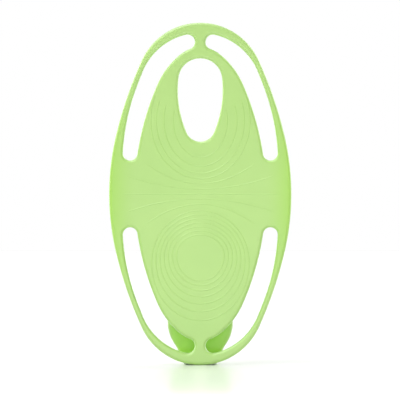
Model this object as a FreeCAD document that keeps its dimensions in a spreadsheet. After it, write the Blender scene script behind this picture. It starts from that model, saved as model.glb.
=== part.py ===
"""Elastic silicone harness that holds a telephone on a handlebar.

One soft moulding: an oval plate with four corner slots, a button hole in its upper lobe, and a strap
that folds back from the bottom rim. The moulding is divided at its flex lines into rigid pieces.

Millimetres. X runs across the plate, Z up its length, and the front faces -Y.
The origin is the centre of the plate's back face.
"""
import FreeCAD
import Part
import Sketcher
import math
import os

from FreeCAD import Placement, Rotation, Vector

DIMENSIONS = [
    ("half_width", 37.3, "plate, centre to the edge of a wing"),
    ("half_length", 70.0, "plate, centre to the top of the rim"),
    ("plate_thickness", 3.0, "plate and strap thickness"),
    ("edge_round", 1.0, "rounding of the moulded edges"),
    ("waist_radius", 103.7, "outline at a wing"),
    ("flank_radius", 163.7, "outline along a corner band"),
    ("cap_radius", 26.4, "outline at the top and bottom"),
    ("ring_inside_length", 65.75, "centre to the inner edge of the rim"),
    ("ring_inside_cap", 25.35, "inner edge of the rim, cap radius"),
    ("ring_inside_flank", 490.0, "inner edge of a corner band, radius"),
    ("ring_inside_wing", 90.0, "inner edge of a corner band beside the wing, radius"),
    ("ring_joint_level", 49.8, "height where that flank meets the cap"),
    ("lobe_half_width", 26.95, "lobed inner plate, half width"),
    ("lobe_half_length", 60.0, "lobed inner plate, half length"),
    ("lobe_flank", 111.4, "lobe outline, side radius"),
    ("lobe_shoulder", 32.0, "lobe outline, shoulder radius"),
    ("lobe_tip", 12.75, "lobe outline, tip radius"),
    ("slot_end_level", 16.65, "height of the slot's round end beside a wing"),
    ("slot_end_radius", 2.95, "radius of that round end"),
    ("slot_tip_offset", 5.25, "the slot's other end, centre to the mid plane"),
    ("hole_top_level", 46.5, "button hole, height of the wide end's centre"),
    ("hole_top_radius", 8.9, "button hole, wide end radius"),
    ("hole_flank", 45.0, "button hole, side radius"),
    ("hole_sill_level", 27.4, "button hole, height of the narrow end's centre"),
    ("hole_sill_radius", 6.0, "button hole, narrow end radius"),
    ("wing_cut", 26.2, "centre plate to wing"),
    ("lobe_cut", 18.0, "centre plate to lobe"),
    ("web_cut", 60.2, "lobe to web"),
    ("rim_cut", 64.0, "web to rim"),
    ("band_root_x", 33.8, "corner band, where it leaves the wing"),
    ("band_root_z", 19.0, "corner band, where it leaves the wing"),
    ("band_lean", 27.0, "lean of a corner band's chord, in degrees"),
    ("band_length", 52.0, "corner band, end to end along its chord"),
    ("band_inset", 2.5, "zone of a corner band inside its chord"),
    ("flex_gap", 0.1, "space left at each flex line"),
    ("strap_front", 12.0, "plate's back face to the strap"),
    ("fold_rear", 8.0, "length of the strap fold's flat foot"),
    ("fold_radius", 7.0, "outer radius of the strap fold"),
    ("foot_half_width", 7.4, "strap fold, half width at the foot"),
    ("fold_half_width", 9.95, "strap fold, half width where it ends"),
    ("shoulder_half_width", 12.7, "strap, half width at the shoulder"),
    ("shoulder_level", -57.2, "strap, height of the shoulder"),
    ("strap_half_width", 13.6, "strap, widest half width"),
    ("strap_wide_level", -53.0, "strap, where it is first at its widest"),
    ("taper_level", -40.0, "strap, where it starts to narrow"),
    ("neck_half_width", 4.0, "strap, half width of the neck"),
    ("neck_level", -4.0, "strap, bottom of the neck"),
    ("head_level", 5.0, "strap, bottom of the head"),
    ("head_half_width", 8.0, "strap, half width of the head"),
    ("strap_end", 18.5, "strap, top of the head"),
    ("panel_length", 9.5, "distance from one strap flex line to the next"),
]
NAMES = [name for name, _, _ in DIMENSIONS]
PANELS = ["strap_panel_1", "strap_panel_2", "strap_panel_3", "strap_panel_4",
          "strap_panel_5", "strap_panel_6", "strap_neck", "strap_head"]
X_AXIS_LINE, Z_AXIS_LINE = -1, -2
START, END, CENTRE = 1, 2, 3

doc = FreeCAD.newDocument("phone_harness")
sheet = doc.addObject("Spreadsheet::Sheet", "Dims")
for row, (name, value, meaning) in enumerate(DIMENSIONS, start=1):
    sheet.set(f"A{row}", meaning)
    sheet.set(f"B{row}", str(value))
    sheet.setAlias(f"B{row}", name)
doc.recompute()


def dim(name):
    """A driving dimension, read from the sheet."""
    return float(getattr(sheet, name))


def bound(text):
    """The text of an expression, with each driving dimension's name pointing at the sheet."""
    words = sorted(NAMES, key=len, reverse=True)
    for index, word in enumerate(words):
        text = text.replace(word, f"<{index}>")
    for index, word in enumerate(words):
        text = text.replace(f"<{index}>", f"Dims.{word}")
    return text


def bind(thing, path, text):
    """Ties one property of an object to the sheet."""
    thing.setExpression(path, bound(text))


# ---------------------------------------------------------------- sketches

class Profile:
    """A sketch on one of its body's own planes, made of arcs and lines with named sizes."""

    def __init__(self, body, name, role, offset=None):
        plane = [f for f in body.Origin.OriginFeatures if f.Role == role][0]
        self.sketch = body.newObject("Sketcher::SketchObject", name)
        self.sketch.AttachmentSupport = [(plane, "")]
        self.sketch.MapMode = "FlatFace"
        if offset:
            bind(self.sketch, "AttachmentOffset.Base.z", offset)

    def arc(self, centre, radius, first, last):
        """An arc that runs anticlockwise between two angles, in degrees."""
        circle = Part.Circle(Vector(*centre, 0), Vector(0, 0, 1), radius)
        shape = Part.ArcOfCircle(circle, math.radians(first), math.radians(last))
        return self.sketch.addGeometry(shape, False)

    def polygon(self, points):
        """Straight lines through the points, closed, with each corner joined."""
        ends = points[1:] + points[:1]
        lines = [self.sketch.addGeometry(Part.LineSegment(Vector(*a, 0), Vector(*b, 0)), False)
                 for a, b in zip(points, ends)]
        for line, following in zip(lines, lines[1:] + lines[:1]):
            self.rule("Coincident", line, END, following, START)
        return lines

    def rule(self, kind, *args):
        return self.sketch.addConstraint(Sketcher.Constraint(kind, *args))

    def size(self, kind, *args, name, text):
        """A dimension that follows the sheet."""
        index = self.rule(kind, *args)
        self.sketch.renameConstraint(index, name)
        bind(self.sketch, f"Constraints.{name}", text)

    def at(self, geometry, point, x, z, name, guess):
        """Places a point of the sketch: x and z are expressions, and guess their values."""
        for kind, text, value, letter in (("DistanceX", x, guess[0], "x"),
                                          ("DistanceY", z, guess[1], "z")):
            if text == "0":
                line = Z_AXIS_LINE if letter == "x" else X_AXIS_LINE
                self.rule("PointOnObject", geometry, point, line)
            elif value > 0:
                self.size(kind, -1, 1, geometry, point, value, name=f"{name}_{letter}", text=text)
            else:
                self.size(kind, geometry, point, -1, 1, -value, name=f"{name}_{letter}",
                          text=f"-({text})")


def crossing(c1, r1, c2, r2, pick):
    """The point at distance r1 from c1 and r2 from c2 for which pick is largest."""
    dx = c2[0] - c1[0]
    dz = c2[1] - c1[1]
    apart = math.hypot(dx, dz)
    along = (r1 ** 2 - r2 ** 2 + apart ** 2) / (2 * apart)
    aside = math.sqrt(max(r1 ** 2 - along ** 2, 0))
    foot = (c1[0] + along * dx / apart, c1[1] + along * dz / apart)
    points = [(foot[0] - side * aside * dz / apart, foot[1] + side * aside * dx / apart)
              for side in (1, -1)]
    return max(points, key=pick)


def heading(centre, other):
    """The angle in degrees from one point to another."""
    return math.degrees(math.atan2(other[1] - centre[1], other[0] - centre[0])) % 360


def outline_profile(body):
    """The plate's oval: eight arcs, each tangent to the next."""
    profile = Profile(body, "plate_outline", "XZ_Plane")
    waist, flank, cap = dim("waist_radius"), dim("flank_radius"), dim("cap_radius")
    waist_centre = (dim("half_width") - waist, 0)
    cap_centre = (0, dim("half_length") - cap)
    flank_centre = crossing(waist_centre, flank - waist, cap_centre, flank - cap,
                            pick=lambda p: -p[0])
    low = heading(flank_centre, waist_centre)
    high = heading(flank_centre, cap_centre)
    fx, fz = flank_centre
    arcs = [
        profile.arc(waist_centre, waist, -low, low),
        profile.arc((fx, fz), flank, low, high),
        profile.arc(cap_centre, cap, high, 180 - high),
        profile.arc((-fx, fz), flank, 180 - high, 180 - low),
        profile.arc((-waist_centre[0], 0), waist, 180 - low, 180 + low),
        profile.arc((-fx, -fz), flank, 180 + low, 180 + high),
        profile.arc((0, -cap_centre[1]), cap, 180 + high, 360 - high),
        profile.arc((fx, -fz), flank, 360 - high, 360 - low),
    ]
    for this, following in zip(arcs, arcs[1:] + arcs[:1]):
        profile.rule("Tangent", this, END, following, START)
    for name, members, radius in (("waist", (0, 4), waist), ("cap", (2, 6), cap),
                                  ("flank", (1, 3, 5, 7), flank)):
        first, *others = [arcs[m] for m in members]
        profile.size("Radius", first, radius, name=name, text=f"{name}_radius")
        for other in others:
            profile.rule("Equal", first, other)
    reach = "half_width - waist_radius"
    rise = "half_length - cap_radius"
    profile.at(arcs[0], CENTRE, reach, "0", "right_waist", waist_centre)
    profile.at(arcs[4], CENTRE, f"-({reach})", "0", "left_waist", (-waist_centre[0], 0))
    profile.at(arcs[2], CENTRE, "0", rise, "top_cap", cap_centre)
    profile.at(arcs[6], CENTRE, "0", f"-({rise})", "bottom_cap", (0, -cap_centre[1]))
    return profile.sketch


def slot_profile(body):
    """One corner slot: outside it runs the band, inside it the lobe, and both ends are round."""
    profile = Profile(body, "corner_slot", "XZ_Plane")
    wing, flank, cap = dim("ring_inside_wing"), dim("ring_inside_flank"), dim("ring_inside_cap")
    side, shoulder, tip = dim("lobe_flank"), dim("lobe_shoulder"), dim("lobe_tip")
    end, level, joint = dim("slot_end_radius"), dim("slot_end_level"), dim("ring_joint_level")
    cap_centre = (0, dim("ring_inside_length") - cap)
    tip_centre = (0, dim("lobe_half_length") - tip)
    side_centre = (dim("lobe_half_width") - side, 0)
    shoulder_centre = crossing(side_centre, side - shoulder, tip_centre, shoulder - tip,
                               pick=lambda p: p[0] - p[1])
    end_centre = (side_centre[0] + math.sqrt((side + end) ** 2 - level ** 2), level)
    rise = (joint - cap_centre[1]) / cap
    flank_centre = (-(flank - cap) * math.sqrt(1 - rise ** 2),
                    cap_centre[1] - (flank - cap) * rise)
    wing_centre = crossing(end_centre, wing - end, flank_centre, flank - wing,
                           pick=lambda p: p[1])
    offset = dim("slot_tip_offset")
    half_axis = (cap + tip) / 2
    focus = (tip_centre[1] - cap_centre[1]) / 2
    far_centre = (offset, cap_centre[1] + focus
                  + half_axis * math.sqrt(1 - offset ** 2 / (half_axis ** 2 - focus ** 2)))
    far_radius = cap - math.hypot(offset, far_centre[1] - cap_centre[1])
    touch = {
        "wing": (heading(wing_centre, end_centre) + 180) % 360 - 180,
        "flank": heading(flank_centre, wing_centre),
        "cap": heading(flank_centre, cap_centre),
        "far": heading(cap_centre, far_centre),
        "tip": heading(tip_centre, far_centre),
        "shoulder": heading(shoulder_centre, tip_centre),
        "side": heading(side_centre, shoulder_centre),
        "end": heading(side_centre, end_centre),
    }
    wing_arc = profile.arc(wing_centre, wing, touch["wing"], touch["flank"])
    flank_arc = profile.arc(flank_centre, flank, touch["flank"], touch["cap"])
    cap_arc = profile.arc(cap_centre, cap, touch["cap"], touch["far"])
    far_arc = profile.arc(far_centre, far_radius, touch["far"], 180 + touch["tip"])
    tip_arc = profile.arc(tip_centre, tip, touch["shoulder"], touch["tip"])
    shoulder_arc = profile.arc(shoulder_centre, shoulder, touch["side"], touch["shoulder"])
    side_arc = profile.arc(side_centre, side, touch["end"], touch["side"])
    end_arc = profile.arc(end_centre, end, 180 + touch["end"], 360 + touch["wing"])
    for a, a_end, b, b_end in ((wing_arc, END, flank_arc, START), (flank_arc, END, cap_arc, START),
                               (cap_arc, END, far_arc, START), (far_arc, END, tip_arc, END),
                               (tip_arc, START, shoulder_arc, END),
                               (shoulder_arc, START, side_arc, END),
                               (side_arc, START, end_arc, START),
                               (end_arc, END, wing_arc, START)):
        profile.rule("Tangent", a, a_end, b, b_end)
    for arc, name in ((wing_arc, "ring_inside_wing"), (flank_arc, "ring_inside_flank"),
                      (cap_arc, "ring_inside_cap"), (tip_arc, "lobe_tip"),
                      (shoulder_arc, "lobe_shoulder"), (side_arc, "lobe_flank"),
                      (end_arc, "slot_end_radius")):
        profile.size("Radius", arc, dim(name), name=f"r_{name}", text=name)
    profile.at(cap_arc, CENTRE, "0", "ring_inside_length - ring_inside_cap", "cap", cap_centre)
    profile.at(tip_arc, CENTRE, "0", "lobe_half_length - lobe_tip", "tip", tip_centre)
    profile.at(side_arc, CENTRE, "lobe_half_width - lobe_flank", "0", "side", side_centre)
    profile.size("DistanceY", -1, 1, flank_arc, END, joint, name="joint", text="ring_joint_level")
    profile.size("DistanceY", -1, 1, end_arc, CENTRE, level, name="level", text="slot_end_level")
    profile.size("DistanceX", -1, 1, far_arc, CENTRE, offset, name="far", text="slot_tip_offset")
    return profile.sketch


def hole_profile(body):
    """The egg-shaped button hole: wide above, narrow below."""
    profile = Profile(body, "button_hole", "XZ_Plane")
    top, flank, sill = dim("hole_top_radius"), dim("hole_flank"), dim("hole_sill_radius")
    top_centre = (0, dim("hole_top_level"))
    sill_centre = (0, dim("hole_sill_level"))
    right = crossing(top_centre, flank - top, sill_centre, flank - sill, pick=lambda p: -p[0])
    upper = heading(right, top_centre)
    lower = heading(right, sill_centre) - 360
    arcs = [
        profile.arc(right, flank, lower, upper),
        profile.arc(top_centre, top, upper, 180 - upper),
        profile.arc((-right[0], right[1]), flank, 180 - upper, 180 - lower),
        profile.arc(sill_centre, sill, 180 - lower, 360 + lower),
    ]
    for this, following in zip(arcs, arcs[1:] + arcs[:1]):
        profile.rule("Tangent", this, END, following, START)
    profile.size("Radius", arcs[0], flank, name="flank", text="hole_flank")
    profile.rule("Equal", arcs[0], arcs[2])
    profile.size("Radius", arcs[1], top, name="wide", text="hole_top_radius")
    profile.size("Radius", arcs[3], sill, name="narrow", text="hole_sill_radius")
    profile.at(arcs[1], CENTRE, "0", "hole_top_level", "wide_end", top_centre)
    profile.at(arcs[3], CENTRE, "0", "hole_sill_level", "narrow_end", sill_centre)
    return profile.sketch


# ---------------------------------------------------------------- features

def new_body(name):
    body = doc.addObject("PartDesign::Body", name)
    body.Label = name
    return body


def pad(body, sketch, name, length, both_ways=False):
    feature = body.newObject("PartDesign::Pad", name)
    feature.Profile = sketch
    feature.Midplane = both_ways
    bind(feature, "Length", length)
    doc.recompute()
    return feature


def cut_through(body, sketch, name):
    """A pocket through the whole body, with a test that it removed something."""
    before = body.Shape.Volume
    feature = body.newObject("PartDesign::Pocket", name)
    feature.Profile = sketch
    feature.Type = "ThroughAll"
    feature.Midplane = True
    doc.recompute()
    if body.Shape.Volume > before - 1:
        raise RuntimeError(f"{name} cut nothing")
    return feature


def fillet(body, name, radius, chosen):
    """Rounds every edge of the body's last feature for which chosen(edge) is true."""
    base = body.Tip
    edges = [f"Edge{i}" for i, edge in enumerate(base.Shape.Edges, start=1) if chosen(edge)]
    feature = body.newObject("PartDesign::Fillet", name)
    feature.Base = (base, edges)
    bind(feature, "Radius", radius)
    doc.recompute()
    return feature


def box(name, low, high):
    """A cutting box between two corners, each given as three expressions."""
    solid = doc.addObject("Part::Box", name)
    for side, axis, a, b in zip(("Length", "Width", "Height"), "xyz", low, high):
        bind(solid, side, f"({b}) - ({a})")
        bind(solid, f"Placement.Base.{axis}", a)
    return solid


def boolean(kind, name, base, tool):
    result = doc.addObject(kind, name)
    result.Base = base
    result.Tool = tool
    result.Label = name
    return result


def mirrored(name, source, normal):
    result = doc.addObject("Part::Mirroring", name)
    result.Source = source
    result.Normal = Vector(*normal)
    result.Label = name
    return result


def make_plate():
    """The flat moulding before it is divided: oval, four slots, button hole, rounded edges."""
    body = new_body("plate_blank")
    pad(body, outline_profile(body), "oval", "plate_thickness")
    slot = cut_through(body, slot_profile(body), "slot")
    four = body.newObject("PartDesign::MultiTransform", "four_slots")
    planes = {f.Role: f for f in body.Origin.OriginFeatures}
    mirrors = []
    for role in ("YZ_Plane", "XY_Plane"):
        mirror = body.newObject("PartDesign::Mirrored", f"mirror_{role[:2]}")
        mirror.MirrorPlane = (planes[role], [""])
        mirrors.append(mirror)
    four.Originals = [slot]
    four.Transformations = mirrors
    body.Tip = four
    before = slot.Shape.Volume
    doc.recompute()
    if four.Shape.Volume > before - 1:
        raise RuntimeError("the slot was not repeated")
    cut_through(body, hole_profile(body), "hole")
    front = -dim("plate_thickness")

    def on_a_face(edge):
        depth = edge.BoundBox
        return depth.YLength < 1e-6 and (abs(depth.YMin) < 1e-6 or abs(depth.YMin - front) < 1e-6)

    fillet(body, "soft_edges", "edge_round", on_a_face)
    return body


def make_fold():
    """The foot that runs back from the bottom rim and turns up into the strap."""
    body = new_body("strap_fold")
    profile = Profile(body, "fold_side", "YZ_Plane")
    rear, outer, wall = dim("fold_rear"), dim("fold_radius"), dim("plate_thickness")
    bottom = -dim("half_length")
    centre = (rear, bottom + outer)
    foot = profile.sketch.addGeometry(Part.LineSegment(Vector(0, bottom, 0),
                                                       Vector(rear, bottom, 0)), False)
    outside = profile.arc(centre, outer, 270, 360)
    top = profile.sketch.addGeometry(
        Part.LineSegment(Vector(rear + outer, centre[1], 0),
                         Vector(rear + outer - wall, centre[1], 0)), False)
    inside = profile.arc(centre, outer - wall, 270, 360)
    tread = profile.sketch.addGeometry(
        Part.LineSegment(Vector(rear, bottom + wall, 0), Vector(0, bottom + wall, 0)), False)
    root = profile.sketch.addGeometry(
        Part.LineSegment(Vector(0, bottom + wall, 0), Vector(0, bottom, 0)), False)
    profile.rule("Tangent", foot, END, outside, START)
    profile.rule("Coincident", outside, END, top, START)
    profile.rule("Coincident", top, END, inside, END)
    profile.rule("Tangent", inside, START, tread, START)
    profile.rule("Coincident", tread, END, root, START)
    profile.rule("Coincident", root, END, foot, START)
    profile.rule("Coincident", inside, CENTRE, outside, CENTRE)
    profile.rule("Horizontal", top)
    profile.rule("Horizontal", foot)
    profile.rule("Vertical", root)
    profile.size("Radius", outside, outer, name="outer", text="fold_radius")
    profile.size("Radius", inside, outer - wall, name="inner",
                 text="fold_radius - plate_thickness")
    profile.at(foot, START, "0", "-half_length", "root", (0, bottom))
    profile.size("DistanceX", foot, START, foot, END, rear, name="length", text="fold_rear")
    profile.rule("Horizontal", outside, CENTRE, outside, END)
    pad(body, profile.sketch, "fold", "2 * fold_half_width", both_ways=True)
    for side in (1, -1):
        trim = Profile(body, f"side_trim_{'right' if side > 0 else 'left'}", "XZ_Plane")
        wide, narrow = side * dim("fold_half_width"), side * dim("foot_half_width")
        points = [(narrow, bottom), (side * 1.2 * abs(wide), bottom), (wide, centre[1])]
        lines = trim.polygon(points)
        sign = "" if side > 0 else "-"
        trim.at(lines[0], START, f"{sign}foot_half_width", "-half_length", "foot", points[0])
        trim.at(lines[1], START, f"{sign}fold_half_width * 1.2", "-half_length", "out", points[1])
        trim.at(lines[2], START, f"{sign}fold_half_width", "fold_radius - half_length", "top",
                points[2])
        cut_through(body, trim.sketch, f"side_{'right' if side > 0 else 'left'}")
    sides = [face for face in body.Tip.Shape.Faces
             if abs(face.normalAt(0, 0).x) > 0.8 and face.Surface.TypeId == "Part::GeomPlane"]

    def along_a_side(edge):
        extent = edge.BoundBox
        at_root = extent.YMax < 1e-6
        at_top = extent.ZMin > centre[1] - 1e-6
        return not at_root and not at_top and any(
            edge.isSame(other) for face in sides for other in face.Edges)

    fillet(body, "soft_edges", "edge_round", along_a_side)
    return body


def make_strap():
    """The strap behind the plate before it is divided: shoulders, taper, neck and head."""
    body = new_body("strap_blank")
    profile = Profile(body, "strap_outline", "XZ_Plane", offset="-strap_front")
    level = "fold_radius - half_length"
    corners = [("fold_half_width", level), ("shoulder_half_width", "shoulder_level"),
               ("strap_half_width", "strap_wide_level"), ("strap_half_width", "taper_level"),
               ("neck_half_width", "neck_level"), ("neck_half_width", "head_level"),
               ("head_half_width", "head_level"), ("head_half_width", "strap_end")]
    mirror = [(f"-{x}", z) for x, z in reversed(corners)]
    texts = corners + mirror
    values = {name: dim(name) for name in NAMES}
    points = [(worked_out(x, values), worked_out(z, values)) for x, z in texts]
    lines = profile.polygon(points)
    for index, (line, (x, z), point) in enumerate(zip(lines, texts, points)):
        profile.at(line, START, x, z, f"corner_{index}", point)
    feature = pad(body, profile.sketch, "strap", "plate_thickness")
    feature.Reversed = True
    doc.recompute()

    def corner_edges(level_name, half_width_name):
        def chosen(edge):
            extent = edge.BoundBox
            across = extent.YLength > dim("plate_thickness") - 1e-3 and extent.XLength < 1e-3
            return (across and abs(extent.ZMin - dim(level_name)) < 1e-3
                    and abs(abs(extent.XMin) - dim(half_width_name)) < 1e-3)
        return chosen

    for name, level_name, half_width_name, radius in (
            ("shoulder_bend", "shoulder_level", "shoulder_half_width", "strap_half_width / 2"),
            ("wide_bend", "strap_wide_level", "strap_half_width", "strap_half_width / 2"),
            ("taper_bend", "taper_level", "strap_half_width", "strap_half_width * 2"),
            ("neck_bend", "neck_level", "neck_half_width", "strap_half_width * 2"),
            ("neck_fillet", "head_level", "neck_half_width", "neck_half_width * 0.4"),
            ("head_foot", "head_level", "head_half_width", "head_half_width * 0.2"),
            ("head_top", "strap_end", "head_half_width", "head_half_width * 0.8")):
        fillet(body, name, radius, corner_edges(level_name, half_width_name))
    front = dim("strap_front")
    back = front + dim("plate_thickness")
    start = dim("fold_radius") - dim("half_length")

    def on_a_face(edge):
        extent = edge.BoundBox
        flat = extent.YLength < 1e-6
        at_face = abs(extent.YMin - front) < 1e-6 or abs(extent.YMin - back) < 1e-6
        return flat and at_face and extent.ZMax > start + 1e-3

    fillet(body, "soft_edges", "edge_round", on_a_face)
    return body


def worked_out(text, values):
    """The value of a short sum of driving dimensions, such as "fold_radius - half_length"."""
    total, sign = 0.0, 1
    for word in text.replace("-", " - ").split():
        if word == "-":
            sign = -1
        else:
            total += sign * values[word]
            sign = 1
    return total


# ---------------------------------------------------------------- pieces

def band_box(name, gap):
    """The zone of the upper right corner band: a box along its chord, shortened by a gap at each end."""
    solid = doc.addObject("Part::Box", name)
    lean = "band_lean * 1deg"
    solid.Placement = Placement(Vector(), Rotation(Vector(0, -1, 0), dim("band_lean")))
    bind(solid, "Length", "half_width")
    bind(solid, "Width", "plate_thickness * 3")
    bind(solid, "Height", f"band_length - 2 * {gap}")
    bind(solid, "Placement.Rotation.Angle", lean)
    bind(solid, "Placement.Base.x",
         f"band_root_x - band_inset * cos({lean}) - {gap} * sin({lean})")
    bind(solid, "Placement.Base.y", "-plate_thickness * 2")
    bind(solid, "Placement.Base.z",
         f"band_root_z - band_inset * sin({lean}) + {gap} * cos({lean})")
    return solid


def make_bands(plate):
    """The four elastic corner bands, and the plate without them."""
    band_name = "band_upper_right"
    upper_right = boolean("Part::Common", band_name, plate, band_box("band_zone", "flex_gap"))
    upper_left = mirrored("band_upper_left", upper_right, (1, 0, 0))
    lower_right = mirrored("band_lower_right", upper_right, (0, 0, 1))
    lower_left = mirrored("band_lower_left", lower_right, (1, 0, 0))
    zone = band_box("core_zone", "0")
    right_zones = mirrored("lower_zone", zone, (0, 0, 1))
    left_zone = mirrored("left_zone", zone, (1, 0, 0))
    left_lower = mirrored("left_lower_zone", right_zones, (1, 0, 0))
    core = plate
    for index, tool in enumerate((zone, right_zones, left_zone, left_lower)):
        core = boolean("Part::Cut", f"core_{index}", core, tool)
    return [upper_right, upper_left, lower_right, lower_left], core


def make_core_pieces(core):
    """The fixed pieces of the plate."""
    front, back = "-plate_thickness * 2", "plate_thickness"
    regions = {
        "centre_plate": (("-wing_cut", "-lobe_cut"), ("wing_cut", "lobe_cut")),
        "right_wing": (("wing_cut", "-lobe_half_width"), ("half_length", "lobe_half_width")),
        "left_wing": (("-half_length", "-lobe_half_width"), ("-wing_cut", "lobe_half_width")),
        "button_loop": (("-lobe_half_width", "lobe_cut"), ("lobe_half_width", "web_cut")),
        "lower_lobe": (("-lobe_half_width", "-web_cut"), ("lobe_half_width", "-lobe_cut")),
        "upper_web": (("-slot_tip_offset", "web_cut"), ("slot_tip_offset", "rim_cut")),
        "lower_web": (("-slot_tip_offset", "-rim_cut"), ("slot_tip_offset", "-web_cut")),
        "rim_top": (("-half_width", "rim_cut"), ("half_width", "half_length * 2")),
        "rim_bottom": (("-half_width", "-half_length * 2"), ("half_width", "-rim_cut")),
    }
    pieces = []
    for name, ((x0, z0), (x1, z1)) in regions.items():
        zone = box(f"{name}_zone", (x0, front, z0), (x1, back, z1))
        pieces.append(boolean("Part::Common", name, core, zone))
    return pieces


def make_panels(strap):
    """The strap's pieces: six panels, the neck and the head, with a gap at each flex line."""
    start = "(fold_radius - half_length)"
    pieces = []
    for index, name in enumerate(PANELS):
        low = f"{start} + {index} * panel_length + flex_gap"
        high = f"{start} + {index + 1} * panel_length"
        if name == PANELS[-1]:
            high = "strap_end + 1"
        zone = box(f"{name}_zone", ("-half_width", "0", low), ("half_width", "half_width", high))
        pieces.append(boolean("Part::Common", name, strap, zone))
    return pieces


def broken(thing):
    return [state for state in thing.State if state in ("Invalid", "Error")]


plate_blank = make_plate()
bands, plate_core = make_bands(plate_blank)
parts = make_core_pieces(plate_core) + bands + [make_fold()] + make_panels(make_strap())
doc.recompute()

failed = [thing.Name for thing in doc.Objects if broken(thing)]
if failed:
    raise RuntimeError(f"these objects failed: {failed}")
os.makedirs("parts", exist_ok=True)
for part in parts:
    shape = part.Shape
    if shape.isNull() or not shape.isValid() or len(shape.Solids) != 1:
        raise RuntimeError(f"{part.Label} is not one valid solid")
    print(f"{part.Label:18s} {shape.Volume:9.1f} mm3")
for part in parts:
    part.Shape.exportStep(os.path.join("parts", f"{part.Label}.step"))
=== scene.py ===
"""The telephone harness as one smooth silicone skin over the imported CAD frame.

Lengths are in millimetres and angles in degrees unless a comment says otherwise. Meshes are scaled
to metres when they are made. X runs to the right, Z up, and the front faces -Y.
"""
import math

import bmesh
import bpy
import numpy as np
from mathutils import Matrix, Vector, geometry, kdtree


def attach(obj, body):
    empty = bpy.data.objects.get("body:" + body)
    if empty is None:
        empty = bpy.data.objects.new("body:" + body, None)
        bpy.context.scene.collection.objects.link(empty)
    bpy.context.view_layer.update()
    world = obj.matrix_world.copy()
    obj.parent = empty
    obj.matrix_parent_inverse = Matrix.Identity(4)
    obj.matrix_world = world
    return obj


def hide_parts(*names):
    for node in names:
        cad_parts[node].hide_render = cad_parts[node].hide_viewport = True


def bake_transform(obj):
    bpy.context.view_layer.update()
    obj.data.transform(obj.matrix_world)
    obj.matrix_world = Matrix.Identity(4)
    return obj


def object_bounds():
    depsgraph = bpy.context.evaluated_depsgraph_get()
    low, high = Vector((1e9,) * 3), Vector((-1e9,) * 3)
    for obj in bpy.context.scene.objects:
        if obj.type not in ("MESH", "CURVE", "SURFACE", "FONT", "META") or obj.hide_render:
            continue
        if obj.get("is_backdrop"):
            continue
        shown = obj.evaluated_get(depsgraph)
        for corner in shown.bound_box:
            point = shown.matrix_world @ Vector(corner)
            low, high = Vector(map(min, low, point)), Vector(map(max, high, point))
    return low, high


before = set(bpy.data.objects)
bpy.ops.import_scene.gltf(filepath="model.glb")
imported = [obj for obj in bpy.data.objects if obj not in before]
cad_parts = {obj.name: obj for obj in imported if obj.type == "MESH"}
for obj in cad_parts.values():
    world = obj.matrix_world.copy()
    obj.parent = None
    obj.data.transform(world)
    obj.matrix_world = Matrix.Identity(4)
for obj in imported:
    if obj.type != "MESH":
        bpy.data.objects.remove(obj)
cad_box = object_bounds()

MM = 0.001

# Plate: EDGE_ROUND is how far the rounding reaches in, but no more than ROUND_SHARE of a thin web
HALF_WIDTH = 37.3
HALF_LENGTH = 70.0
THICKNESS = 3.0
EDGE_ROUND = 1.3
ROUND_DEPTH = 1.2
ROUND_SHARE = 0.44
WAIST_RADIUS = 103.7
FLANK_RADIUS = 163.7
CAP_RADIUS = 26.4

# Corner slots: the elastic band's side, then the lobe's side, then the two ends
RING_INSIDE_LENGTH = 65.75
RING_INSIDE_CAP = 25.35
RING_INSIDE_FLANK = 490.0
RING_INSIDE_WING = 90.0
RING_JOINT_LEVEL = 49.8
LOBE_HALF_WIDTH = 26.95
LOBE_HALF_LENGTH = 60.0
LOBE_FLANK = 111.4
LOBE_SHOULDER = 32.0
LOBE_TIP = 12.75
SLOT_END_LEVEL = 16.65
SLOT_END_RADIUS = 2.95
SLOT_TIP_OFFSET = 5.25

# Button hole
HOLE_TOP_LEVEL = 46.5
HOLE_TOP_RADIUS = 8.9
HOLE_FLANK = 45.0
HOLE_SILL_LEVEL = 27.4
HOLE_SILL_RADIUS = 6.0

# Corner bands: the chord between each band's ends. BAND_REACH is how far inside that chord a
# band's pieces begin, and BAND_BLEND a distance from each end along the chord
BAND_ROOT = (33.8, 19.0)
BAND_LEAN = 27.0
BAND_LENGTH = 52.0
BAND_REACH = 2.5
BAND_BLEND = 20.0

# Strap: foot behind the rim, bend up, then straight up behind the plate. Each knot is a distance
# along the strap and the half width there
FOOT_START = -1.6
FOOT_END = 8.0
FOLD_RADIUS = 7.0
FOOT_RISE_START = -0.85
FOOT_RISE_END = 2.0
FOOT_CORNER = 1.5
FOOT_CLEAR = 0.05
STRAP_KNOTS = [(FOOT_START + FOOT_CORNER, 7.0), (5.0, 7.0), (15.4, 9.4), (18.8, 11.4),
               (22.0, 12.8), (26.0, 13.5), (39.0, 13.5), (57.4, 8.8),
               (74.5, 4.1), (80.5, 4.0), (82.8, 4.0)]
HEAD_LEVEL = 84.4
HEAD_HALF_WIDTH = 8.0
HEAD_LENGTH = 13.5
NECK_HALF_WIDTH = 4.0
HEAD_CORNER = 1.6
HEAD_CROWN = 6.4

# Flex lines of the strap: the pitch between them
FLEX_PITCH = 9.5

# Mesh detail: the longest step along an outline and its largest turn, the steps round an edge, the
# pitch of the grid inside, and the share of that pitch which stays clear of the outlines. Then
# three small distances: within which two points are the same, within which a point is on a cutting
# plane, and the step that finds a bent surface's direction
STEP = 0.8
TURN = 9.0
ROUND_STEPS = 5
GRID = 2.2
GRID_CLEAR = 0.55
SAME_POINT = 1e-6
ON_PLANE = 1e-5
NUDGE = 0.01


# ---------------------------------------------------------------- plane geometry

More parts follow.
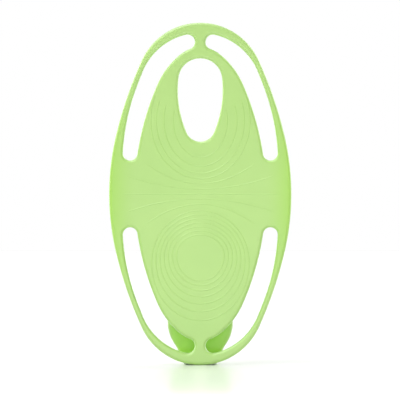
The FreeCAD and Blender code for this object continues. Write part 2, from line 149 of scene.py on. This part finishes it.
def crossing(c1, r1, c2, r2, pick):
    """The point at distance r1 from c1 and r2 from c2 for which pick is largest."""
    dx = c2[0] - c1[0]
    dz = c2[1] - c1[1]
    apart = math.hypot(dx, dz)
    along = (r1 ** 2 - r2 ** 2 + apart ** 2) / (2 * apart)
    aside = math.sqrt(max(r1 ** 2 - along ** 2, 0))
    foot = (c1[0] + along * dx / apart, c1[1] + along * dz / apart)
    points = [(foot[0] - side * aside * dz / apart, foot[1] + side * aside * dx / apart)
              for side in (1, -1)]
    return max(points, key=pick)


def heading(centre, other):
    """The angle from one point to another."""
    return math.degrees(math.atan2(other[1] - centre[1], other[0] - centre[0])) % 360


def arc(centre, radius, first, last):
    """Points along an arc from one angle to another, without the last one."""
    turn = math.radians(last - first)
    count = max(2, math.ceil(abs(turn) * radius / STEP), math.ceil(abs(last - first) / TURN))
    angles = [math.radians(first) + turn * i / count for i in range(count)]
    return [(centre[0] + radius * math.cos(a), centre[1] + radius * math.sin(a)) for a in angles]


def line(start, end):
    """Points along a straight line, without the last one."""
    count = max(1, math.ceil(math.dist(start, end) / STEP))
    return [tuple(np.array(start) + (np.array(end) - np.array(start)) * i / count)
            for i in range(count)]


def turned(loop, anticlockwise):
    """The loop in the wanted direction."""
    area = sum(a[0] * b[1] - b[0] * a[1] for a, b in zip(loop, loop[1:] + loop[:1]))
    return loop if (area > 0) == anticlockwise else loop[::-1]


def plate_outline():
    """The oval, as eight arcs that touch."""
    waist = (HALF_WIDTH - WAIST_RADIUS, 0)
    cap = (0, HALF_LENGTH - CAP_RADIUS)
    fx, fz = crossing(waist, FLANK_RADIUS - WAIST_RADIUS, cap, FLANK_RADIUS - CAP_RADIUS,
                      pick=lambda p: -p[0])
    low = heading((fx, fz), waist)
    high = heading((fx, fz), cap)
    return (arc(waist, WAIST_RADIUS, -low, low)
            + arc((fx, fz), FLANK_RADIUS, low, high)
            + arc(cap, CAP_RADIUS, high, 180 - high)
            + arc((-fx, fz), FLANK_RADIUS, 180 - high, 180 - low)
            + arc((-waist[0], 0), WAIST_RADIUS, 180 - low, 180 + low)
            + arc((-fx, -fz), FLANK_RADIUS, 180 + low, 180 + high)
            + arc((0, -cap[1]), CAP_RADIUS, 180 + high, 360 - high)
            + arc((fx, -fz), FLANK_RADIUS, 360 - high, 360 - low))


def slot_outline():
    """The upper right slot: up the band, round the far end, down the lobe, round the near end."""
    cap = (0, RING_INSIDE_LENGTH - RING_INSIDE_CAP)
    tip = (0, LOBE_HALF_LENGTH - LOBE_TIP)
    side = (LOBE_HALF_WIDTH - LOBE_FLANK, 0)
    shoulder = crossing(side, LOBE_FLANK - LOBE_SHOULDER, tip, LOBE_SHOULDER - LOBE_TIP,
                        pick=lambda p: p[0] - p[1])
    near = (side[0] + math.sqrt((LOBE_FLANK + SLOT_END_RADIUS) ** 2 - SLOT_END_LEVEL ** 2),
            SLOT_END_LEVEL)
    rise = (RING_JOINT_LEVEL - cap[1]) / RING_INSIDE_CAP
    reach = RING_INSIDE_FLANK - RING_INSIDE_CAP
    flank = (-reach * math.sqrt(1 - rise ** 2), cap[1] - reach * rise)
    wing = crossing(near, RING_INSIDE_WING - SLOT_END_RADIUS, flank,
                    RING_INSIDE_FLANK - RING_INSIDE_WING, pick=lambda p: p[1])
    half_axis = (RING_INSIDE_CAP + LOBE_TIP) / 2
    focus = (tip[1] - cap[1]) / 2
    far = (SLOT_TIP_OFFSET, cap[1] + focus
           + half_axis * math.sqrt(1 - SLOT_TIP_OFFSET ** 2 / (half_axis ** 2 - focus ** 2)))
    far_radius = RING_INSIDE_CAP - math.hypot(far[0], far[1] - cap[1])
    first = (heading(wing, near) + 180) % 360 - 180
    return (arc(wing, RING_INSIDE_WING, first, heading(flank, wing))
            + arc(flank, RING_INSIDE_FLANK, heading(flank, wing), heading(flank, cap))
            + arc(cap, RING_INSIDE_CAP, heading(flank, cap), heading(cap, far))
            + arc(far, far_radius, heading(cap, far), 180 + heading(tip, far))
            + arc(tip, LOBE_TIP, heading(tip, far), heading(shoulder, tip))
            + arc(shoulder, LOBE_SHOULDER, heading(shoulder, tip), heading(side, shoulder))
            + arc(side, LOBE_FLANK, heading(side, shoulder), heading(side, near))
            + arc(near, SLOT_END_RADIUS, 180 + heading(side, near), 360 + first))


def hole_outline():
    """The egg-shaped button hole."""
    top = (0, HOLE_TOP_LEVEL)
    sill = (0, HOLE_SILL_LEVEL)
    right = crossing(top, HOLE_FLANK - HOLE_TOP_RADIUS, sill, HOLE_FLANK - HOLE_SILL_RADIUS,
                     pick=lambda p: -p[0])
    upper = heading(right, top)
    lower = heading(right, sill) - 360
    return (arc(right, HOLE_FLANK, lower, upper)
            + arc(top, HOLE_TOP_RADIUS, upper, 180 - upper)
            + arc((-right[0], right[1]), HOLE_FLANK, 180 - upper, 180 - lower)
            + arc(sill, HOLE_SILL_RADIUS, 180 - lower, 360 + lower))


def smooth_between(knots, value):
    """A curve through the knots that never overshoots them."""
    x = [k[0] for k in knots]
    y = [k[1] for k in knots]
    slopes = [(b - a) / (q - p) for a, b, p, q in zip(y, y[1:], x, x[1:])]
    tangents = [slopes[0]]
    for before, after in zip(slopes, slopes[1:]):
        same_way = before * after > 0
        tangents.append(2 * before * after / (before + after) if same_way else 0)
    tangents.append(slopes[-1])
    index = max(i for i in range(len(x) - 1) if x[i] <= value or i == 0)
    span = x[index + 1] - x[index]
    t = (value - x[index]) / span
    return (y[index] * (1 + 2 * t) * (1 - t) ** 2 + tangents[index] * span * t * (1 - t) ** 2
            + y[index + 1] * t * t * (3 - 2 * t) + tangents[index + 1] * span * t * t * (t - 1))


def strap_outline():
    """The strap laid flat: X across it, and the second number along it from the bottom rim."""
    (first, foot), *_, (last, _) = STRAP_KNOTS
    count = math.ceil((last - first) / STEP)
    levels = [first + (last - first) * i / count for i in range(count)]
    right = arc((foot - FOOT_CORNER, first), FOOT_CORNER, -90, 0)
    right += [(smooth_between(STRAP_KNOTS, level), level) for level in levels]
    inner = HEAD_HALF_WIDTH - HEAD_CORNER
    crown = HEAD_HALF_WIDTH - HEAD_CROWN
    top = HEAD_LEVEL + HEAD_LENGTH
    neck = NECK_HALF_WIDTH + HEAD_CORNER
    right += arc((neck, HEAD_LEVEL - HEAD_CORNER), HEAD_CORNER, 180, 90)
    right += line((neck, HEAD_LEVEL), (inner, HEAD_LEVEL))
    right += arc((inner, HEAD_LEVEL + HEAD_CORNER), HEAD_CORNER, -90, 0)
    right += line((HEAD_HALF_WIDTH, HEAD_LEVEL + HEAD_CORNER), (HEAD_HALF_WIDTH, top - HEAD_CROWN))
    right += arc((crown, top - HEAD_CROWN), HEAD_CROWN, 0, 90)
    right += line((crown, top), (0, top))
    left = [(-x, level) for x, level in reversed(right)]
    bottom = line((-right[0][0], FOOT_START), (right[0][0], FOOT_START))[1:]
    return right + [(0, top)] + left + bottom


# ---------------------------------------------------------------- soft-edged sheets

def inward(loop):
    """The unit vector into the material at each point of a loop that has it on its left."""
    result = []
    for before, here, after in zip(loop[-1:] + loop[:-1], loop, loop[1:] + loop[:1]):
        a = (Vector(here) - Vector(before)).normalized()
        b = (Vector(after) - Vector(here)).normalized()
        along = (a + b).normalized()
        result.append((-along.y, along.x))
    return result


def inside(points, loops):
    """Whether each point is in the first loop and in none of the others."""
    p = np.array(points)
    odd = np.zeros(len(p), bool)
    for loop in loops:
        for (x1, z1), (x2, z2) in zip(loop, loop[1:] + loop[:1]):
            if z1 == z2:
                continue
            spans = (p[:, 1] < z1) != (p[:, 1] < z2)
            odd ^= spans & (p[:, 0] < x1 + (p[:, 1] - z1) * (x2 - x1) / (z2 - z1))
    return odd


def fill(loops):
    """The points of the loops and of a grid between them, and the triangles that join them."""
    points = [p for loop in loops for p in loop]
    edges = []
    start = 0
    for loop in loops:
        edges += [(start + i, start + (i + 1) % len(loop)) for i in range(len(loop))]
        start += len(loop)
    near = kdtree.KDTree(len(points))
    for i, (x, z) in enumerate(points):
        near.insert((x, z, 0), i)
    near.balance()
    xs, zs = zip(*points)
    rows = range(math.floor(min(zs) / GRID), math.ceil(max(zs) / GRID) + 1)
    columns = range(math.floor(min(xs) / GRID) - 1, math.ceil(max(xs) / GRID) + 1)
    grid = [((column + 0.5 * (row % 2)) * GRID, row * GRID) for row in rows for column in columns]
    grid = [p for p, keep in zip(grid, inside(grid, loops)) if keep]
    points += [p for p in grid if near.find((*p, 0))[2] > GRID_CLEAR * GRID]
    made = geometry.delaunay_2d_cdt([Vector(p) for p in points], edges, [], 0, SAME_POINT)
    origin = [ids[0] for ids in made[3]]
    triangles = [[origin[i] for i in face] for face in made[2]]
    centres = [np.mean([points[i] for i in t], axis=0) for t in triangles]
    return points, [t for t, keep in zip(triangles, inside(centres, loops)) if keep]


def room_across(loops):
    """For each point of each loop, its distance to the nearest other loop."""
    result = []
    for loop in loops:
        others = [p for other in loops if other is not loop for p in other]
        near = kdtree.KDTree(len(others))
        for i, (x, z) in enumerate(others):
            near.insert((x, z, 0), i)
        near.balance()
        result.append([near.find((*p, 0))[2] if others else math.inf for p in loop])
    return result


def sheet(loops):
    """A flat sheet with rounded edges: its back at Y = 0, its front at minus its thickness."""
    bm = bmesh.new()
    facing = bm.verts.layers.float_vector.new("facing")

    def vertex(x, z, depth, direction):
        v = bm.verts.new((x, -depth, z))
        v[facing] = direction
        return v

    quarter = [math.radians(90 * (1 - i / ROUND_STEPS)) for i in range(ROUND_STEPS + 1)]
    profile = []
    for a in quarter:
        level = THICKNESS - ROUND_DEPTH * (1 - math.sin(a))
        profile.append((1 - math.cos(a), level, math.cos(a), math.sin(a)))
    for a in reversed(quarter):
        level = ROUND_DEPTH * (1 - math.sin(a))
        profile.append((1 - math.cos(a), level, math.cos(a), -math.sin(a)))
    rims, fronts, backs = [], [], []
    for loop, rooms in zip(loops, room_across(loops)):
        into = inward(loop)
        rounds = [min(EDGE_ROUND, ROUND_SHARE * room) for room in rooms]
        rings = []
        for inset, level, out, up in profile:
            rings.append([vertex(x + nx * inset * r, z + nz * inset * r, level,
                                 (-nx * out * ROUND_DEPTH, -up * r, -nz * out * ROUND_DEPTH))
                          for (x, z), (nx, nz), r in zip(loop, into, rounds)])
        for ring, following in zip(rings, rings[1:]):
            for i in range(len(loop)):
                j = (i + 1) % len(loop)
                bm.faces.new((ring[i], ring[j], following[j], following[i]))
        rims.append([(v.co.x, v.co.z) for v in rings[0]])
        fronts += rings[0]
        backs += rings[-1]
    points, triangles = fill(rims)
    for x, z in points[len(fronts):]:
        fronts.append(vertex(x, z, THICKNESS, (0, -1, 0)))
        backs.append(vertex(x, z, 0, (0, 1, 0)))
    for a, b, c in triangles:
        bm.faces.new((fronts[a], fronts[b], fronts[c]))
        bm.faces.new((backs[c], backs[b], backs[a]))
    bmesh.ops.recalc_face_normals(bm, faces=bm.faces)
    return bm


def cut(bm, point, normal, keep=lambda face: True):
    """Adds an edge loop where a plane crosses the faces for which keep is true."""
    faces = [f for f in bm.faces if keep(f.calc_center_median())]
    parts = set(faces)
    for f in faces:
        parts.update(f.edges)
        parts.update(f.verts)
    bmesh.ops.bisect_plane(bm, geom=list(parts), dist=ON_PLANE, plane_co=point, plane_no=normal)


def pieces_of(bm, label, place=None):
    """One closed object for each label of the sheet's faces, with each point moved by place."""
    facing = bm.verts.layers.float_vector["facing"]
    place = place or (lambda p: p)
    spots, directions = {}, {}
    for v in bm.verts:
        here = place(v.co)
        spots[v] = here
        tip = place(v.co + v[facing].normalized() * NUDGE)
        directions[v] = (tip - here).normalized()
    groups = {}
    for f in bm.faces:
        groups.setdefault(label(f.calc_center_median()), []).append(f)
    made = {}
    for name, faces in groups.items():
        part = bmesh.new()
        twins = {}
        order = []
        for f in faces:
            for v in f.verts:
                if v not in twins:
                    twins[v] = part.verts.new(spots[v] * MM)
                    order.append(directions[v])
            part.faces.new([twins[v] for v in f.verts])
        rim = [e for e in part.edges if e.is_boundary]
        if rim:
            bmesh.ops.holes_fill(part, edges=rim, sides=0)
        for f in part.faces:
            f.smooth = True
        mesh = bpy.data.meshes.new(name)
        part.to_mesh(mesh)
        part.free()
        mesh.normals_split_custom_set_from_vertices(order)
        made[name] = bpy.data.objects.new(name, mesh)
        bpy.context.collection.objects.link(made[name])
    bm.free()
    return made


# ---------------------------------------------------------------- plate and corner bands

CORNERS = {"upper_right": (1, 1), "upper_left": (-1, 1),
           "lower_right": (1, -1), "lower_left": (-1, -1)}
LEAN = math.radians(BAND_LEAN)


def band_place(point):
    """How far along and outside its corner's chord a point is."""
    dx = abs(point.x) - BAND_ROOT[0]
    dz = abs(point.z) - BAND_ROOT[1]
    along = -math.sin(LEAN) * dx + math.cos(LEAN) * dz
    outside = math.cos(LEAN) * dx + math.sin(LEAN) * dz
    return along, outside


def chord_point(corner, along):
    """The point at a distance along a corner's chord, half way through the plate."""
    sx, sz = CORNERS[corner]
    return Vector((sx * (BAND_ROOT[0] - math.sin(LEAN) * along), -THICKNESS / 2,
                   sz * (BAND_ROOT[1] + math.cos(LEAN) * along)))


def corner_of(point):
    """The name of the quarter of the plate that a point is in."""
    return f"{'upper' if point.z > 0 else 'lower'}_{'right' if point.x > 0 else 'left'}"


def plate_label(point):
    """The name of the piece that a face of the plate belongs to."""
    along, outside = band_place(point)
    if outside < -BAND_REACH or not 0 < along < BAND_LENGTH:
        return "plate_skin"
    half = "root" if along < BAND_LENGTH / 2 else "rim"
    return f"band_{corner_of(point)}_{half}"


def make_plate():
    """The plate's skin and the two halves of each corner band."""
    slot = slot_outline()
    slots = [turned([(sx * x, sz * z) for x, z in slot], False) for sx, sz in CORNERS.values()]
    bm = sheet([turned(plate_outline(), True)] + slots + [turned(hole_outline(), False)])
    for corner, (sx, sz) in CORNERS.items():
        for along in (0, BAND_LENGTH / 2, BAND_LENGTH):
            def near(point, corner=corner, along=along):
                place, outside = band_place(point)
                return (corner_of(point) == corner and outside > -BAND_REACH
                        and abs(place - along) < 2 * GRID)
            chord = (-sx * math.sin(LEAN), 0, sz * math.cos(LEAN))
            cut(bm, chord_point(corner, along), chord, near)
    return pieces_of(bm, plate_label)


# ---------------------------------------------------------------- strap

BEND_CENTRE = FOLD_RADIUS - THICKNESS / 2
BEND_END = FOOT_END + BEND_CENTRE * math.pi / 2


def smoothstep(low, high, value):
    """A smooth rise from 0 at low to 1 at high."""
    t = min(max((value - low) / (high - low), 0), 1)
    return t * t * (3 - 2 * t)


def bent(point):
    """Where a point of the flat strap goes: back from the rim, round the bend and up."""
    across, along, depth = point.x, point.z, -point.y
    if along < FOOT_END:
        oval = -HALF_LENGTH + CAP_RADIUS - math.sqrt(CAP_RADIUS ** 2 - across ** 2)
        kept = 1 - smoothstep(FOOT_RISE_START, FOOT_RISE_END, along)
        lift = (oval + HALF_LENGTH + FOOT_CLEAR) * kept
        return Vector((across, along, depth - HALF_LENGTH + lift * (1 - depth / THICKNESS)))
    if along < BEND_END:
        angle = (along - FOOT_END) / BEND_CENTRE
        reach = FOLD_RADIUS - depth
        return Vector((across, FOOT_END + reach * math.sin(angle),
                       FOLD_RADIUS - HALF_LENGTH - reach * math.cos(angle)))
    return Vector((across, FOOT_END + FOLD_RADIUS - depth,
                   FOLD_RADIUS - HALF_LENGTH + along - BEND_END))


STRAP_PARTS = [f"panel_{number}" for number in range(1, 7)] + ["neck", "head"]
STRAP_NODES = [f"strap_{part}" for part in STRAP_PARTS]


def make_strap():
    """The strap, cut half way along each panel."""
    bm = sheet([turned(strap_outline(), True)])
    first_cut = BEND_END + FLEX_PITCH / 2
    levels = [first_cut + FLEX_PITCH * i for i in range(len(STRAP_NODES) - 1)]
    for level in levels:
        cut(bm, (0, 0, level), (0, 0, 1))

    def label(point):
        return f"strap_bend_{sum(point.z > level for level in levels) + 1}"

    return pieces_of(bm, label, bent)


# ---------------------------------------------------------------- grip ribs

RIB_HALF_WIDTH = 0.36
RIB_HEIGHT = 0.11
RIB_SINK = 0.03
RIB_ROOT = 0.09
RIB_FADE = 2.5
RIB_STEPS = 4

STRAIGHT_REACH = 33
STRAIGHT_POINTS = 90

# Bows: the distance from the middle, the droop and the half length of each
BOWS = ((2.0, 5.6, 30.5), (4.2, 8.6, 22.8))
BOW_POINTS = 84

# Nested lines: the first line's value, the step to the next and how the step grows
OVALS = 7
OVAL_TOP = (-16.7, 1.65, 0)
OVAL_BOTTOM = (-35.6, -1.6, -0.18)
OVAL_HALF_WIDTH = (9.7, 1.7, 0)
OVAL_LIFT = 0.9
OVAL_POINTS = 150

ARCHES = 4
ARCH_LEVEL = 30
ARCH_HALF_WIDTH = (11.0, 4.3, -0.4)
ARCH_DROP = (15.1, 3.9, -0.33)
ARCH_ENDS = (20, 3, 0)
ARCH_POINTS = 120


def nested(series, k):
    """The value of a series for its line number k."""
    first, step, growth = series
    return first + step * k + growth * k * k


def rib_lines():
    """Generic flow lines: one straight, bows beside it, ovals below and open arches above."""
    lines = [[(x, 0) for x in np.linspace(-STRAIGHT_REACH, STRAIGHT_REACH, STRAIGHT_POINTS)]]
    for side in (1, -1):
        for depth, droop, reach in BOWS:
            xs = np.linspace(-reach, reach, BOW_POINTS)
            lines.append([(x, side * (depth + droop * (x / reach) ** 2)) for x in xs])
    for k in range(OVALS):
        top = nested(OVAL_TOP, k)
        bottom = nested(OVAL_BOTTOM, k)
        wide = nested(OVAL_HALF_WIDTH, k)
        middle = (top + bottom) / 2 + OVAL_LIFT
        loop = []
        for a in np.linspace(0, 2 * math.pi, OVAL_POINTS):
            rise = top - middle if math.sin(a) > 0 else middle - bottom
            loop.append((wide * math.cos(a), middle + rise * math.sin(a)))
        lines.append(loop)
    for k in range(ARCHES):
        wide = nested(ARCH_HALF_WIDTH, k)
        drop = nested(ARCH_DROP, k)
        ends = nested(ARCH_ENDS, k)
        angles = np.radians(np.linspace(-180 - ends, ends, ARCH_POINTS))
        lines.append([(wide * math.cos(a), ARCH_LEVEL + drop * math.sin(a)) for a in angles])
    return lines


def make_ribs():
    """Fine raised lines on the plate's front, each a closed low ridge."""
    bm = bmesh.new()
    normals = []
    turns = [i / RIB_STEPS for i in range(-RIB_STEPS, RIB_STEPS + 1)]

    def vertex(x, z, proud, direction):
        normals.append(direction.normalized())
        return bm.verts.new((x, -THICKNESS - proud, z))

    for points in rib_lines():
        closed = math.dist(points[0], points[-1]) < SAME_POINT
        if closed:
            points = points[:-1]
        lengths = [0]
        for a, b in zip(points, points[1:]):
            lengths.append(lengths[-1] + math.dist(a, b))
        rings = []
        for i, (x, z) in enumerate(points):
            before = points[i - 1] if i or closed else points[0]
            after = points[(i + 1) % len(points)] if i + 1 < len(points) or closed else points[-1]
            along = (Vector(after) - Vector(before)).normalized()
            aside = Vector((-along.y, 0, along.x))
            fade = 1
            if not closed:
                fade = (smoothstep(0, RIB_FADE, lengths[i])
                        * smoothstep(0, RIB_FADE, lengths[-1] - lengths[i]))
            rise = RIB_HEIGHT * fade + RIB_SINK
            ring = []
            for t in turns:
                proud = rise * math.cos(t * math.pi / 2) ** 2 - RIB_SINK
                slope = -rise * math.pi / (2 * RIB_HALF_WIDTH) * math.sin(t * math.pi)
                reach = aside * (t * RIB_HALF_WIDTH)
                direction = Vector((0, -1, 0)) - aside * slope
                ring.append(vertex(x + reach.x, z + reach.z, proud, direction))
            for side in (1, -1):
                reach = aside * (side * RIB_HALF_WIDTH)
                ring.append(vertex(x + reach.x, z + reach.z, -RIB_ROOT, Vector((0, 1, 0))))
            rings.append(ring)
        pairs = zip(rings, rings[1:] + rings[:1]) if closed else zip(rings, rings[1:])
        for ring, following in pairs:
            for i in range(len(ring)):
                j = (i + 1) % len(ring)
                bm.faces.new((ring[i], ring[j], following[j], following[i]))
        if not closed:
            bm.faces.new(rings[0])
            bm.faces.new(rings[-1][::-1])
    bmesh.ops.recalc_face_normals(bm, faces=bm.faces)
    bmesh.ops.scale(bm, vec=(MM, MM, MM), verts=bm.verts)
    for f in bm.faces:
        f.smooth = True
    mesh = bpy.data.meshes.new("grip_ribs")
    bm.to_mesh(mesh)
    bm.free()
    mesh.normals_split_custom_set_from_vertices(normals)
    ribs = bpy.data.objects.new("grip_ribs", mesh)
    bpy.context.collection.objects.link(ribs)
    return ribs


# ---------------------------------------------------------------- material

def linear(red, green, blue):
    """A colour given as it looks on screen, from 0 to 255, as the shader wants it."""
    values = [c / 255 for c in (red, green, blue)]
    return [v / 12.92 if v <= 0.04045 else ((v + 0.055) / 1.055) ** 2.4 for v in values] + [1]


PALE_GREEN = linear(153, 204, 66)
PALER_GREEN = linear(160, 209, 76)
SHADE_GREEN = linear(158, 217, 40)

# Half axes of two oval tubes round Z: painted shade deepens the colour outside the first, towards
# the wings and the strap, and thins the coat there; both are plain again outside the second, on
# the strap's edges and its outer face
SHADE_ACROSS = 33.0
SHADE_BEHIND = 9.0
SHADE_RANGE = (0.85, 1.35)
INNER_ACROSS = 40.0
INNER_BEHIND = 12.2
INNER_RANGE = (0.99, 1.08)
WHOLE_RANGE = (0.0, 1.0)
COAT_WEIGHTS = (1.0, 0.45)
ROUGHNESSES = (0.46, 0.56)

CLOUD_SCALE = 45
CLOUD_DETAIL = 2
CLOUD_STOPS = (0.3, 0.7)
GRAIN_SCALE = 2600
GRAIN_DETAIL = 3
GRAIN_STRENGTH = 0.12
GRAIN_DEPTH = 0.06


def mapped(tree, source, before, after, smooth=False):
    """The output of a node that turns values in one range into values in another."""
    node = tree.nodes.new("ShaderNodeMapRange")
    if smooth:
        node.interpolation_type = "SMOOTHSTEP"
    for name, value in zip(("From Min", "From Max", "To Min", "To Max"), (*before, *after)):
        node.inputs[name].default_value = value
    tree.links.new(source, node.inputs["Value"])
    return node.outputs["Result"]


def tube_distance(tree, place, across, behind):
    """How far out a point is, as a share of an oval tube round Z with these half axes."""
    share = tree.nodes.new("ShaderNodeVectorMath")
    share.operation = "MULTIPLY"
    share.inputs[1].default_value = (1 / (across * MM), 1 / (behind * MM), 0)
    tree.links.new(place, share.inputs[0])
    length = tree.nodes.new("ShaderNodeVectorMath")
    length.operation = "LENGTH"
    tree.links.new(share.outputs["Vector"], length.inputs[0])
    return length.outputs["Value"]


def noise(tree, place, scale, detail):
    """The grey output of a noise texture."""
    node = tree.nodes.new("ShaderNodeTexNoise")
    node.inputs["Scale"].default_value = scale
    node.inputs["Detail"].default_value = detail
    tree.links.new(place, node.inputs["Vector"])
    return node.outputs["Fac"]


def silicone():
    """Soft lime silicone: matte, slightly cloudy, with a fine moulded grain, and painted shade
    towards the wings and on the strap's inner face.
    """
    material = bpy.data.materials.new("lime_silicone")
    material.use_nodes = True
    tree = material.node_tree
    nodes = tree.nodes
    links = tree.links
    shader = nodes["Principled BSDF"]
    shader.inputs["IOR"].default_value = 1.43
    shader.inputs["Coat IOR"].default_value = 2.45
    shader.inputs["Coat Roughness"].default_value = 0.55
    shader.inputs["Sheen Weight"].default_value = 0.7
    shader.inputs["Sheen Roughness"].default_value = 0.35
    place = nodes.new("ShaderNodeTexCoord").outputs["Object"]

    cloud = noise(tree, place, CLOUD_SCALE, CLOUD_DETAIL)
    tint = nodes.new("ShaderNodeValToRGB")
    greens = (PALE_GREEN, PALER_GREEN)
    for stop, position, green in zip(tint.color_ramp.elements, CLOUD_STOPS, greens):
        stop.position = position
        stop.color = green
    links.new(cloud, tint.inputs["Fac"])

    far_out = tube_distance(tree, place, SHADE_ACROSS, SHADE_BEHIND)
    past_inner = tube_distance(tree, place, INNER_ACROSS, INNER_BEHIND)
    rising = mapped(tree, far_out, SHADE_RANGE, WHOLE_RANGE, smooth=True)
    falling = mapped(tree, past_inner, INNER_RANGE, WHOLE_RANGE[::-1], smooth=True)
    # Painted shade: a deeper, more saturated green towards the wings and on the strap's inner
    # face, in place of the shade and green bounce between plate and strap
    painted_shade = nodes.new("ShaderNodeMath")
    painted_shade.operation = "MULTIPLY"
    links.new(rising, painted_shade.inputs[0])
    links.new(falling, painted_shade.inputs[1])
    colour = nodes.new("ShaderNodeMixRGB")
    colour.inputs["Color2"].default_value = SHADE_GREEN
    links.new(painted_shade.outputs["Value"], colour.inputs["Fac"])
    links.new(tint.outputs["Color"], colour.inputs["Color1"])
    links.new(colour.outputs["Color"], shader.inputs["Base Color"])
    # Painted shade also thins the coat's whitish bloom where the deeper green is mixed in
    links.new(mapped(tree, painted_shade.outputs["Value"], WHOLE_RANGE, COAT_WEIGHTS),
              shader.inputs["Coat Weight"])

    bump = nodes.new("ShaderNodeBump")
    bump.inputs["Strength"].default_value = GRAIN_STRENGTH
    bump.inputs["Distance"].default_value = GRAIN_DEPTH * MM
    links.new(noise(tree, place, GRAIN_SCALE, GRAIN_DETAIL), bump.inputs["Height"])
    links.new(bump.outputs["Normal"], shader.inputs["Normal"])
    links.new(mapped(tree, cloud, WHOLE_RANGE, ROUGHNESSES), shader.inputs["Roughness"])
    return material


# ---------------------------------------------------------------- assembly

SILICONE = silicone()
plate = make_plate()
for name, piece in plate.items():
    if name == "plate_skin":
        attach(piece, "plate")
        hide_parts("centre_plate", "right_wing", "left_wing", "button_loop", "lower_lobe",
                    "upper_web", "lower_web", "rim_top", "rim_bottom")
        continue
    corner, half = name.removeprefix("band_").rsplit("_", 1)
    start, end = (0, BAND_BLEND) if half == "root" else (BAND_LENGTH, BAND_LENGTH - BAND_BLEND)
    chord_point(corner, start) * MM
    chord_point(corner, end) * MM
    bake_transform(piece)
    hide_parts(f"band_{corner}")

strap = make_strap()
for index, node in enumerate(STRAP_NODES):
    piece = strap[f"strap_bend_{index + 1}"]
    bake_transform(piece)
    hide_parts(node)
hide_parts("strap_fold")

ribs = make_ribs()
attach(ribs, "plate")
for piece in [*plate.values(), *strap.values(), ribs]:
    piece.data.materials.append(SILICONE)


# ---------------------------------------------------------------- floor, light and camera

# Lengths are in metres from here on, apart from the camera's sensor and lens
FLOOR_LEVEL = -HALF_LENGTH * MM
FLOOR_REACH = 3.0
PAPER_WHITE = 0.96
PAPER_ROUGHNESS = 0.2
PAPER_SPECULAR = 0.2
AMBIENT = 0.26
KEY_POWER = 1.54
TOP_POWER = 0.6
FILL_POWER = 0.135
BACK_POWER = 1.8
LIT_POINT = Vector((0, 0, -0.03))
VIEW_WIDTH = 0.1636
VIEW_DISTANCE = 1.4
AIM = (-0.0001, -0.0015, -0.0025)

floor_mesh = bpy.data.meshes.new("floor")
corners = [(x * FLOOR_REACH, y * FLOOR_REACH, FLOOR_LEVEL)
           for x, y in ((-1, -1), (1, -1), (1, 1), (-1, 1))]
floor_mesh.from_pydata(corners, [], [range(4)])
floor = bpy.data.objects.new("floor", floor_mesh)
bpy.context.collection.objects.link(floor)
floor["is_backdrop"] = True
paper = bpy.data.materials.new("white_paper")
paper.use_nodes = True
paper_shader = paper.node_tree.nodes["Principled BSDF"]
paper_shader.inputs["Base Color"].default_value = (PAPER_WHITE, PAPER_WHITE, PAPER_WHITE, 1)
paper_shader.inputs["Roughness"].default_value = PAPER_ROUGHNESS
paper_shader.inputs["Specular IOR Level"].default_value = PAPER_SPECULAR
floor.data.materials.append(paper)

# The surroundings are plain white, and dimmer where they act as a light on matte surfaces
world = bpy.data.worlds.new("studio")
bpy.context.scene.world = world
world.use_nodes = True
studio = world.node_tree
backdrop = studio.nodes["Background"]
backdrop.inputs["Color"].default_value = (1, 1, 1, 1)
matte_ray = studio.nodes.new("ShaderNodeLightPath").outputs["Is Diffuse Ray"]
strength = mapped(studio, matte_ray, WHOLE_RANGE, (1.0, AMBIENT))
studio.links.new(strength, backdrop.inputs["Strength"])


def add_light(name, kind, place, energy, spread):
    """A light that points at the object: spread is a lamp's size or a far source's angle."""
    light = bpy.data.lights.new(name, kind)
    light.energy = energy
    if kind == "SUN":
        light.angle = math.radians(spread)
    else:
        light.size = spread
    lamp = bpy.data.objects.new(name, light)
    lamp.location = place
    lamp.rotation_euler = (LIT_POINT - Vector(place)).to_track_quat("-Z", "Y").to_euler()
    bpy.context.collection.objects.link(lamp)


add_light("key", "SUN", place=(-0.55, -0.6, 1.25), energy=KEY_POWER, spread=40)
add_light("overhead", "SUN", place=(0.0, 0.4, 1.2), energy=TOP_POWER, spread=20)
add_light("fill", "AREA", place=(0.0, -0.27, -0.055), energy=FILL_POWER, spread=0.08)
add_light("right_behind", "SUN", place=(1.0, 0.7, 0.3), energy=BACK_POWER, spread=60)
add_light("left_behind", "SUN", place=(-1.0, 0.7, 0.3), energy=BACK_POWER, spread=60)

camera_data = bpy.data.cameras.new("camera")
camera_data.sensor_width = 36
camera_data.lens = camera_data.sensor_width * VIEW_DISTANCE / VIEW_WIDTH
camera_data.clip_end = 20
camera = bpy.data.objects.new("camera", camera_data)
camera.location = (AIM[0], AIM[1] - VIEW_DISTANCE, AIM[2])
camera.rotation_euler = (math.pi / 2, 0, 0)
bpy.context.collection.objects.link(camera)
bpy.context.scene.camera = camera
bpy.context.scene.view_settings.view_transform = "Standard"

plain = [[[float(c) for c in corner] for corner in box] for box in (cad_box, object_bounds())]
